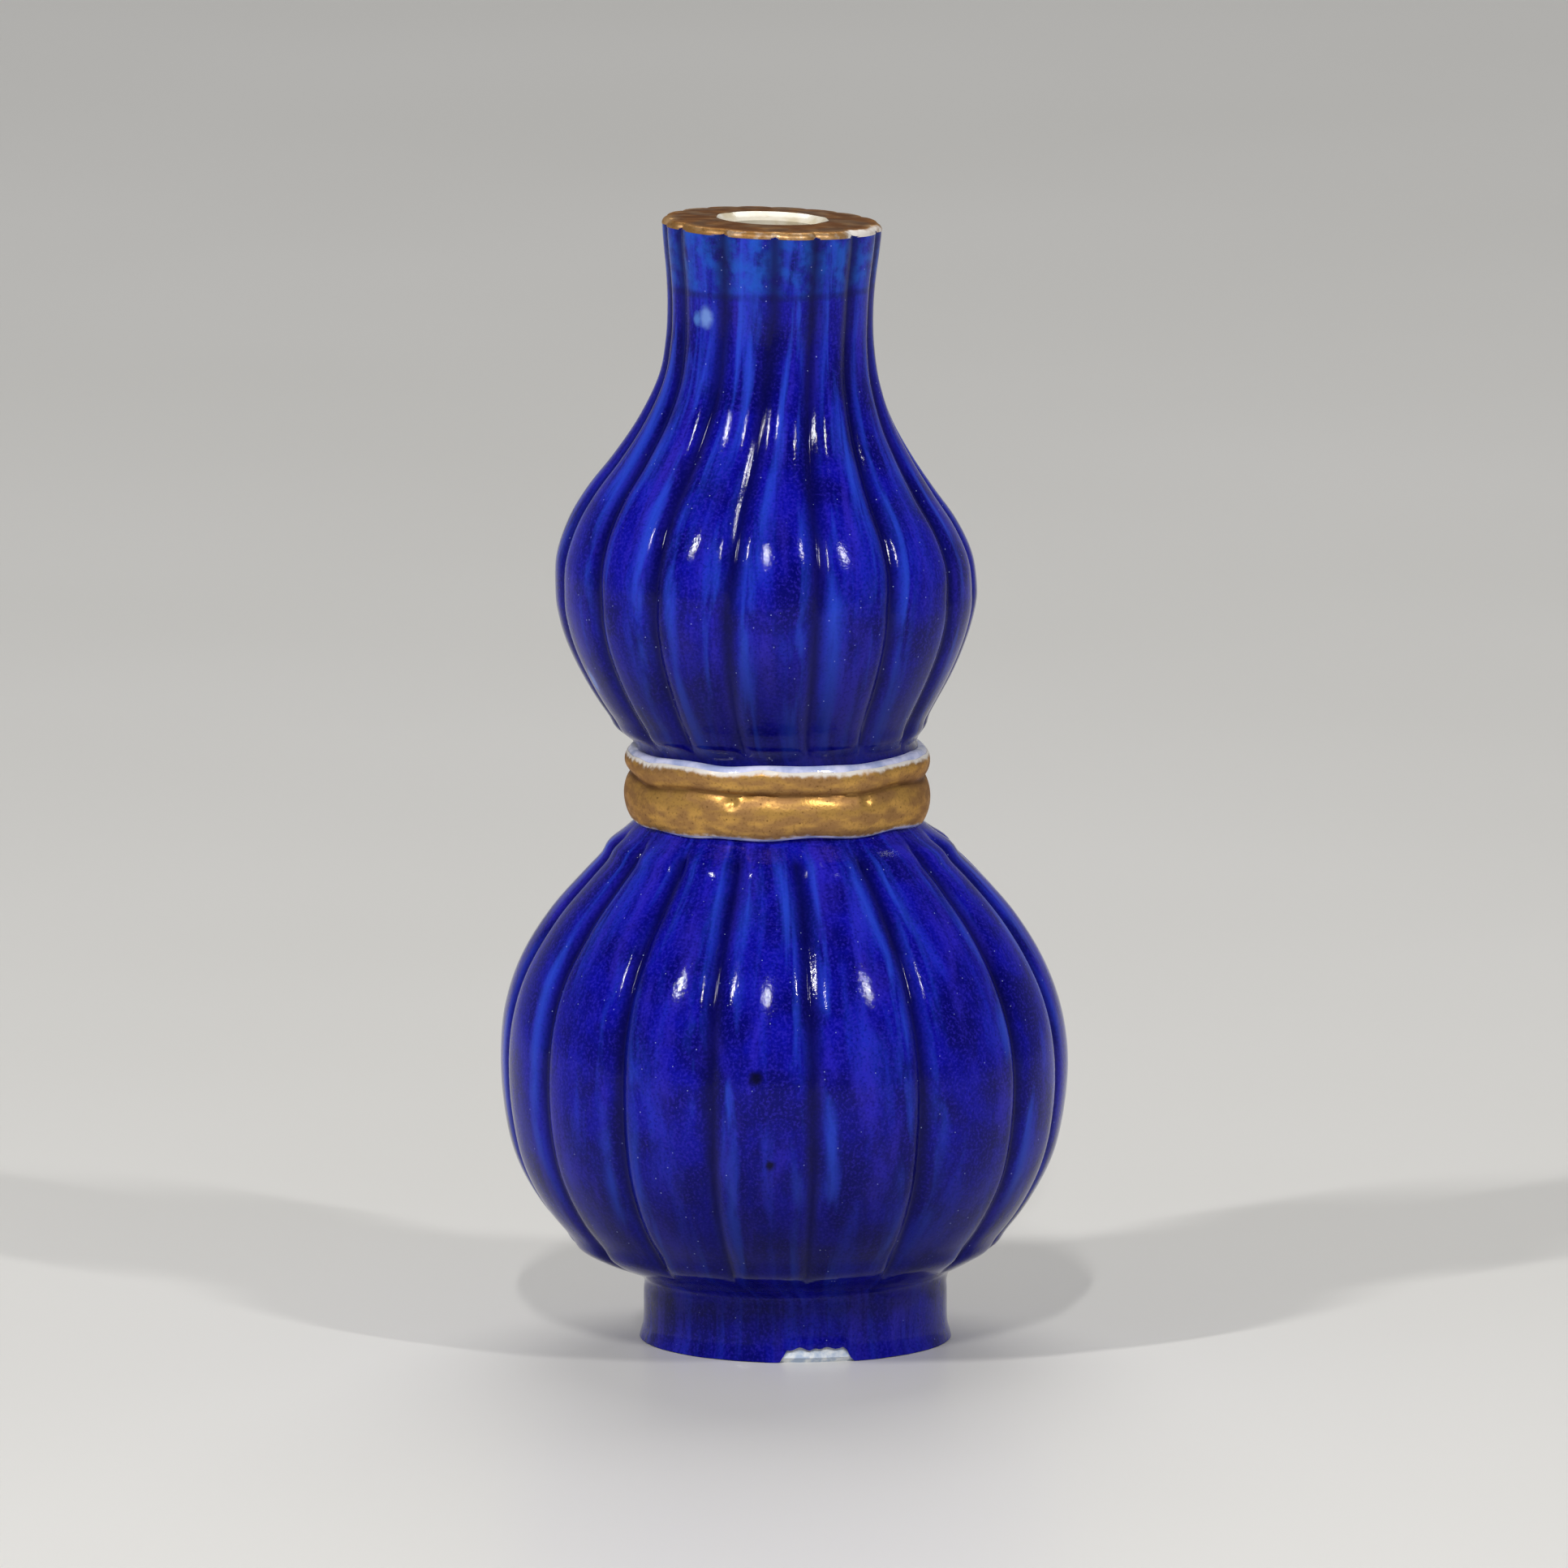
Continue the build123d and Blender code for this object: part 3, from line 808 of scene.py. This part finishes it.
def gild(name, bright, dull, brown, sheen):
    """Fired gold: a thin skin of real gold brushed round the vase on glass, so it is half a
    metal to the eye. It is yellow where it is bright, and brown and matt where it is thin or
    grimy, and also where painted shade is marked in the band's crease between its beads. It
    has worn through to the white where the points of the mesh are marked as rubbed. Its sheen
    is how strongly the glass reflects."""
    gilding = start_material(name)
    place = add(gilding, "TexCoord").outputs["Object"]
    around = {"Vector": place, "Scale": (1.0, 1.0, gold_brush_stretch)}
    around = add(gilding, "Mapping", around).outputs[0]
    patterns = (
        (around, gold_cloud_size, 4.0),
        (place, gold_grain_size, 3.0),
        (place, wear_patch_size, 4.0),
    )
    clouds, fine, patches = [
        add(gilding, "TexNoise", {"Vector": on, "Scale": 1 / (size * mm), "Detail": detail}).outputs[0]
        for on, size, detail in patterns
    ]
    tone = {"Value": clouds, "From Min": 0.38, "From Max": 0.66}
    tone = add(gilding, "MapRange", tone, interpolation_type="SMOOTHSTEP").outputs[0]
    paint = {0: tone, 6: linear(dull), 7: linear(bright)}
    colour = add(gilding, "Mix", paint, data_type="RGBA").outputs[2]
    colour = lay_colours(gilding, colour, [(brown, fine, 0.5, 0.72, 0.0, 0.4)])
    # Grime on the lip, and painted shade in the band's crease
    grime_and_shade_share = add(gilding, "Attribute", attribute_name="grime_and_shade").outputs["Fac"]
    grime_and_shade_share = add(gilding, "Math", {0: grime_and_shade_share, 1: grime_and_shade_strength}, operation="MULTIPLY").outputs[0]
    paint = {0: grime_and_shade_share, 6: colour, 7: linear(brown)}
    colour = add(gilding, "Mix", paint, data_type="RGBA").outputs[2]
    pits = add(gilding, "TexVoronoi", {"Vector": place, "Scale": 1 / (gold_pit_spacing * mm)})
    pits = pits.outputs["Distance"]
    colour = lay_colours(gilding, colour, [(brown, pits, 0.05, 0.13, gold_pit_strength, 0.0)])
    uneven = {"Value": patches, "From Min": 0.3, "From Max": 0.7, "To Min": -0.2, "To Max": 0.2}
    wear = {
        0: add(gilding, "Attribute", attribute_name="rubbed").outputs["Fac"],
        1: add(gilding, "MapRange", uneven, interpolation_type="SMOOTHSTEP").outputs[0],
    }
    wear = add(gilding, "Math", wear, operation="ADD").outputs[0]
    wear = {"Value": wear, "From Min": 0.3, "From Max": 0.95}
    wear = add(gilding, "MapRange", wear, interpolation_type="SMOOTHSTEP").outputs[0]
    paint = {0: wear, 6: colour, 7: linear(bare_white)}
    colour = add(gilding, "Mix", paint, data_type="RGBA").outputs[2]
    normal = {}
    for height, depth in ((fine, gold_grain_depth), (clouds, gold_cloud_depth)):
        bump = {"Height": height, "Distance": depth * mm, "Strength": 1.0, **normal}
        normal = {"Normal": add(gilding, "Bump", bump).outputs[0]}
    gloss = {"Value": tone, "To Min": 0.48, "To Max": 0.3}
    metal = {"Value": wear, "To Min": 0.6, "To Max": 0.0}
    surface = {
        "Base Color": colour,
        "Roughness": add(gilding, "MapRange", gloss, interpolation_type="SMOOTHSTEP").outputs[0],
        "Metallic": add(gilding, "MapRange", metal, interpolation_type="SMOOTHSTEP").outputs[0],
        "Specular IOR Level": sheen,
        "Specular Tint": colour,
        **normal,
    }
    end_material(gilding, add(gilding, "BsdfPrincipled", surface))
    return gilding


band_gilding = gild("fired_gilding", "#c99b54", "#a67d4f", "#6b4b2c", 0.5)
gilded_band = show("gilded_band", gold_band, band_gilding)
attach(gilded_band, "root")
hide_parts("band_gilding")

# Cobalt glaze of the upper bulb and neck: the same glaze, poured above the band. It is
# thinnest and lightest near the lip, and it has drawn back from a spot on the neck.
upper_bulb_under_height = 22.4
shoulder_height = 14.2
neck_height = 26.0
mouth_height = 11.5
upper_bulb_radius = 29.5
shoulder_radius = 24.2
neck_radius = 14.25
lip_radius = 15.2
blue_lip_lap = 0.5
blue_lip_tuck = 0.1
neck_wall = 5.2
bore_radius = 6.8
upper_rib_depth = 1.05
upper_first_groove = 14.0
upper_bulb_lean = -2.5
shoulder_lean = -3.2
neck_lean = -1.9
lip_lean = -1.7
upper_wide_level = band_top_level + upper_bulb_under_height
shoulder_level = upper_wide_level + shoulder_height
neck_level = shoulder_level + neck_height
lip_edge_level = neck_level + mouth_height
shoulder_turn_share = shoulder_height / (shoulder_height + neck_height)
upper_under_shares = [
    (0.0, 0.0, 0.0, 0.0),
    (0.05, 0.02, 0.05, 0.3),
    (0.12, 0.14, 0.5, 0.6),
    (0.28, 0.39, 0.9, 0.85),
    (0.50, 0.67, 1.0, 0.95),
    (0.70, 0.865, 1.0, 1.0),
    (0.88, 0.975, 1.0, 1.0),
    (1.0, 1.0, 1.0, 1.0),
]
shoulder_shares = [
    (0.34, 0.075, 1.0, 0.3),
    (0.68, 0.44, 1.0, 0.7),
    (1.0, 1.0, 1.0, 1.0),
]
neck_shares = [
    (0.18, 0.337, 0.1, 0.25),
    (0.38, 0.653, 0.4, 0.55),
    (0.61, 0.894, 0.7, 0.85),
    (0.82, 0.985, 0.9, 0.95),
    (1.0, 1.0, 1.0, 1.0),
]
mouth_shares = [
    (0.40, 0.26, 1.0, 0.4),
    (0.80, 0.80, 1.0, 0.8),
    (1.0, 1.0, 1.0, 1.0),
]
upper_groove_shares = [
    0.0, 0.015, 0.16, 0.06, -0.05, 0.04, -0.07, 0.05,
    0.08, -0.05, 0.03, -0.04, -0.10, -0.01, -0.08, -0.10,
]
rim_groove_shares = [
    0.48, 0.57, 0.80, 0.73, 0.64, 0.56, 0.47, 0.38,
    0.29, 0.18, 0.09, 0.0, -0.11, -0.23, 0.16, 0.46,
]
upper_levels = stretch(
    upper_under_shares,
    heights=(band_top_level, upper_wide_level),
    radii=(waist_radius, upper_bulb_radius),
    grooves=(0.0, upper_rib_depth),
    leans=(waist_lean, upper_bulb_lean),
    walls=(waist_radius - throat_radius, bulb_wall),
)
upper_levels += stretch(
    shoulder_shares,
    heights=(upper_wide_level, shoulder_level),
    radii=(upper_bulb_radius, shoulder_radius),
    grooves=(upper_rib_depth, upper_rib_depth),
    leans=(upper_bulb_lean, shoulder_lean),
    walls=(bulb_wall, bulb_wall),
    turns=(0.0, shoulder_turn_share),
)
upper_levels += stretch(
    neck_shares,
    heights=(shoulder_level, neck_level),
    radii=(shoulder_radius, neck_radius),
    grooves=(upper_rib_depth, neck_rib_depth),
    leans=(shoulder_lean, neck_lean),
    walls=(bulb_wall, neck_wall),
    turns=(shoulder_turn_share, 1.0),
)
upper_levels += stretch(
    mouth_shares,
    heights=(neck_level, lip_edge_level),
    radii=(neck_radius, lip_radius),
    grooves=(neck_rib_depth, neck_rib_depth),
    leans=(neck_lean, lip_lean),
    walls=(neck_wall, lip_radius - bore_radius),
    turns=(1.0, 1.0),
)
tucked_level = band_top_level - tucked_height
tucked_foot = Level(tucked_level, waist_radius, 0.0, waist_lean, 0.0, bulb_wall)
rolled_level = lip_edge_level + blue_lip_lap
rolled_lip = upper_levels[-1]._replace(height=rolled_level, radius=lip_radius - blue_lip_tuck)
upper_outline = [tucked_foot] + upper_levels + [rolled_lip]
upper_overhang = 0.5
upper_end_level = band_top_level + 2.8
upper_end_width = 1.2
settled_shade_above_band = 0.8
upper_settled_shade_level = band_top_level + 1.0
upper_settled_shade_end = band_top_level + 27.0


def upper_groove(number, turn):
    low = groove_turn(upper_first_groove, upper_groove_shares, number)
    high = groove_turn(upper_first_groove, rim_groove_shares, number)
    return blend(low, high, turn)


def upper_rib_ends(height):
    return upper_overhang * bump_at(upper_end_level, upper_end_width, height)


# Darker just above the band: thick glaze that has run down, and painted shade under the upper bulb
def upper_settled_shade(height):
    return settled_shade_above_band * (1 - ease(upper_settled_shade_level, upper_settled_shade_end, height))


profile = coat_profile(upper_outline, tucked_level, rolled_level, glaze_thickness, row_step)
coat = lathe(profile, rib_count * columns_per_rib)
press_ribs(coat, upper_outline, upper_groove, upper_rib_ends, upper_settled_shade)
upper_coat = show("upper_cobalt_coat", coat, cobalt)
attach(upper_coat, "root")
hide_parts("upper_cobalt_glaze")

# Clear glaze of the lip and the whole inside: poured in, swilled and poured out again, so
# it is one closed skin of glass from the floor to the blue. Its cream colour is partly the
# glaze's own warm cast and partly painted light and shade in the bore.
lip_height = 0.6
mouth_radius = 8.0
mouth_rise = 0.2
lip_lobe_depth = 0.75
lip_lobe_reach = mouth_radius + 3.0
lip_level = lip_edge_level + lip_height
lip_top_radius = lip_radius - lip_height
lip_rows = 7
opening_radius = 17.9
floor_level = 10.9
inside_step = 2.0
cream_and_bore_shade = "#e4ddcc"
cream_shade = "#d2c6aa"


def lip_points(thickness, reach):
    """Radius and height of the lip's rounded edge and of its top, which rises a little to
    the mouth and ends at a reach."""
    points = []
    for row in range(lip_rows):
        angle = pi / 2 * row / (lip_rows - 1)
        across = lip_top_radius + (lip_height + thickness) * cos(angle)
        points.append((across, lip_edge_level + (lip_height + thickness) * sin(angle)))
    for row in range(1, lip_rows):
        across = blend(lip_top_radius, reach, row / (lip_rows - 1))
        rise = mouth_rise * (lip_top_radius - across) / (lip_top_radius - mouth_radius)
        points.append((across, lip_level + thickness + rise))
    return points


def inside_points(skin):
    """Radius and height of the hollow from the bore down to the floor's middle."""
    points = [(bore_radius - skin, lip_edge_level)]
    bulb_top = lip_edge_level - inside_step
    for height in reversed(rows_between(upper_levels, band_top_level, bulb_top, inside_step)):
        level = level_at(upper_levels, height)
        points.append((level.radius - level.wall - skin, height))
    points.append((throat_radius - skin, band_bottom_level))
    above_cove = lower_levels[len(cove_shares) + 1 :]
    bulb_top = band_bottom_level - inside_step
    lowest = above_cove[0].height
    for height in reversed(rows_between(above_cove, lowest, bulb_top, inside_step)):
        level = level_at(above_cove, height)
        points.append((level.radius - level.wall - skin, height))
    points.append((opening_radius - skin, floor_level + skin))
    points.append((0.0, floor_level + skin))
    return points


def lean_with_lip(mesh):
    """Leans a turned piece with the levels at its height, and lobes its lip by the ribs."""
    every_level = lower_outline[:-1] + upper_levels
    for vertex in mesh.verts:
        x, y, height = vertex.co
        angle = atan2(x, -y) % tau
        radius = hypot(x, y)
        level = level_at(every_level, min(height, lip_edge_level))
        turn = angle / tau * rib_count
        number = int(turn)
        part = turn - number
        angle = blend(upper_groove(number, level.turn), upper_groove(number + 1, level.turn), part)
        near = abs(2 * part - 1)
        radius -= lip_lobe_depth * ease(lip_lobe_reach, lip_top_radius, radius) * near**3
        tilt = radians(rim_tilt) * level.turn
        upright = radius * sin(angle)
        vertex.co = (
            level.lean + upright * cos(tilt),
            -radius * cos(angle),
            height - upright * sin(tilt) + back_tilt_share * level.turn * radius * cos(angle),
        )


profile = inside_points(0.0)[::-1] + lip_points(0.0, mouth_radius)[::-1]
profile += lip_points(clear_thickness, mouth_radius - clear_thickness) + inside_points(clear_thickness)
glaze_skin = lathe(profile, rib_count * columns_per_rib, closed=False)
lean_with_lip(glaze_skin)
creamy_glaze = clear_glass("creamy_clear_glaze", cream_and_bore_shade, cream_shade)
inside_coat = show("glazed_lip_and_inside", glaze_skin, creamy_glaze)
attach(inside_coat, "root")
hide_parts("clear_inside_glaze")
finish_node("clear_base_glaze", creamy_glaze)

# Gilding of the lip: the same brushed gold, laid over the lip's flat top and its lobed
# edge. It has gone brown on top, and hands have rubbed it tan at the edge, and off the
# lobes at the front on the right.
lip_gold_reach = 7.9
lip_gold_thickness = 0.06
lip_gold_sunk = 0.05
mouth_brushing = (3.0, 0.4, 23.0)
mouth_brushing_reach = lip_gold_reach + 1.5
lip_edge_inside = lip_top_radius - 0.5
lip_edge_outside = lip_radius + 0.2
front_begins = 6.0
front_full = 12.0
edge_rub = 0.1
front_rub_and_highlight = 0.25
right_rub = 0.6
right_begins = 3.6
right_full = 6.1
lip_grime = 0.9
grime_patches = (2.2, 0.5, 29.0)
profile = lip_points(clear_thickness + lip_gold_thickness, lip_gold_reach)
profile += lip_points(clear_thickness - lip_gold_sunk, lip_gold_reach)[::-1]
lip_gold = lathe(profile, rib_count * columns_per_rib)
rubbed = lip_gold.verts.layers.float.new("rubbed")
grime_and_shade = lip_gold.verts.layers.float.new("grime_and_shade")
for vertex in lip_gold.verts:
    x, y, height = vertex.co
    radius = hypot(x, y)
    flat = Vector((x, y, 0.0))
    near_mouth = 1 - ease(lip_gold_reach, mouth_brushing_reach, radius)
    wander = near_mouth * hand_wobble(flat, *mouth_brushing)
    vertex.co.xy *= (radius + wander) / radius
    at_edge = ease(lip_edge_inside, lip_edge_outside, radius)
    at_front = ease(front_begins, front_full, -y)
    at_right = ease(right_begins, right_full, x)
    # At the front the edge is lighter still: partly wear and partly a painted highlight on the lobes
    vertex[rubbed] = at_edge * (edge_rub + front_rub_and_highlight * at_front + right_rub * at_front * at_right)
    patchy = lip_grime + hand_wobble(flat, *grime_patches)
    vertex[grime_and_shade] = min(patchy, 1.0) * (1 - at_edge)
lean_with_lip(lip_gold)
lip_gilding = gild("worn_lip_gilding", "#cfa879", "#9c7446", "#57350f", 0.1)
gilded_lip = show("gilded_lip", lip_gold, lip_gilding)
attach(gilded_lip, "root")
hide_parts("rim_gilding")

# Studio: a plain pale table that the vase stands on, narrow soft boxes at both sides and
# in front, a broad sheet of cloth overhead, and a long lens at the photograph's angle.
table_colour = "#d9d7d2"
table_light = "#dfddd9"
table_size = 6.0
table_tone_size = 300.0
air_colour = "#ffffff"
air_low = 0.32
air_high = 0.12
air_high_slope = 0.6
overhead_bearing = 176
overhead_elevation = 52
overhead_spread = 40
overhead_strength = 1.25
picture_size = 1932
scale_mm_per_pixel = 0.1149
camera_distance = 3.44
camera_height = 0.631
camera_reach = 20.0
aim_height = 0.0793

# Painted board: a smooth, half matt white paint, a little uneven in tone
table = start_material("painted_board")
place = add(table, "TexCoord").outputs["Object"]
tone = {"Vector": place, "Scale": 1 / (table_tone_size * mm), "Detail": 2.0}
tone = add(table, "TexNoise", tone).outputs[0]
colour = lay_colours(table, linear(table_colour), [(table_light, tone, 0.2, 0.8, 0.0, 1.0)])
surface = {"Base Color": colour, "Roughness": 0.35, "IOR": 1.4}
end_material(table, add(table, "BsdfPrincipled", surface))
board = bmesh.new()
bmesh.ops.create_grid(board, x_segments=1, y_segments=1, size=table_size / 2)
data = bpy.data.meshes.new("table_top")
board.to_mesh(data)
board.free()
data.materials.append(table)
table_top = bpy.data.objects.new("table_top", data)
bpy.context.scene.collection.objects.link(table_top)

# The room is paler near the table than overhead, so no line shows in the glaze where the
# table ends
world = bpy.data.worlds.new("studio_air")
world.use_nodes = True
upwards = add(world, "TexCoord").outputs["Generated"]
upwards = add(world, "SeparateXYZ", {0: upwards}).outputs["Z"]
strength = {
    "Value": upwards,
    "From Min": 0.0,
    "From Max": air_high_slope,
    "To Min": air_low,
    "To Max": air_high,
}
strength = add(world, "MapRange", strength, interpolation_type="SMOOTHSTEP").outputs[0]
air = world.node_tree.nodes["Background"]
air.inputs["Color"].default_value = linear(air_colour)
world.node_tree.links.new(strength, air.inputs["Strength"])
bpy.context.scene.world = world

# Each soft box: name, bearing from the front towards +X, elevation, distance, width,
# height and power
soft_boxes = [
    ("left_box", -48, 42, 2.0, 0.055, 0.4, 16.0),
    ("right_box", 46, 42, 2.0, 0.045, 0.38, 11.0),
    ("front_box", -4, 42, 2.0, 0.045, 0.38, 11.5),
]
target = Vector((0.0, 0.0, aim_height))


def away_at(bearing, elevation):
    """The direction from the vase to a lamp."""
    flat = cos(radians(elevation))
    across = sin(radians(bearing)) * flat
    return Vector((across, -cos(radians(bearing)) * flat, sin(radians(elevation))))


for name, bearing, elevation, distance, width, height, power in soft_boxes:
    lamp = bpy.data.lights.new(name, "AREA")
    lamp.shape = "ELLIPSE"
    lamp.size = width
    lamp.size_y = height
    lamp.energy = power
    box = bpy.data.objects.new(name, lamp)
    away = away_at(bearing, elevation)
    box.location = target + away * distance
    box.rotation_euler = (-away).to_track_quat("-Z", "Y").to_euler()
    bpy.context.scene.collection.objects.link(box)

# A broad sheet of diffusing cloth hangs overhead, and lights the whole table alike
lamp = bpy.data.lights.new("overhead_cloth", "SUN")
lamp.energy = overhead_strength
lamp.angle = radians(overhead_spread)
cloth = bpy.data.objects.new("overhead_cloth", lamp)
away = away_at(overhead_bearing, overhead_elevation)
cloth.location = target + away
cloth.rotation_euler = (-away).to_track_quat("-Z", "Y").to_euler()
bpy.context.scene.collection.objects.link(cloth)

lens = bpy.data.cameras.new("long_lens")
camera = bpy.data.objects.new("camera", lens)
camera.location = (0.0, -camera_distance, camera_height)
sight = target - camera.location
camera.rotation_euler = sight.to_track_quat("-Z", "Y").to_euler()
lens.lens = lens.sensor_width * sight.length / (picture_size * scale_mm_per_pixel * mm)
lens.clip_end = camera_reach
bpy.context.scene.collection.objects.link(camera)
bpy.context.scene.camera = camera
bpy.context.scene.view_settings.view_transform = "Standard"
bpy.context.scene.cycles.use_denoising = True
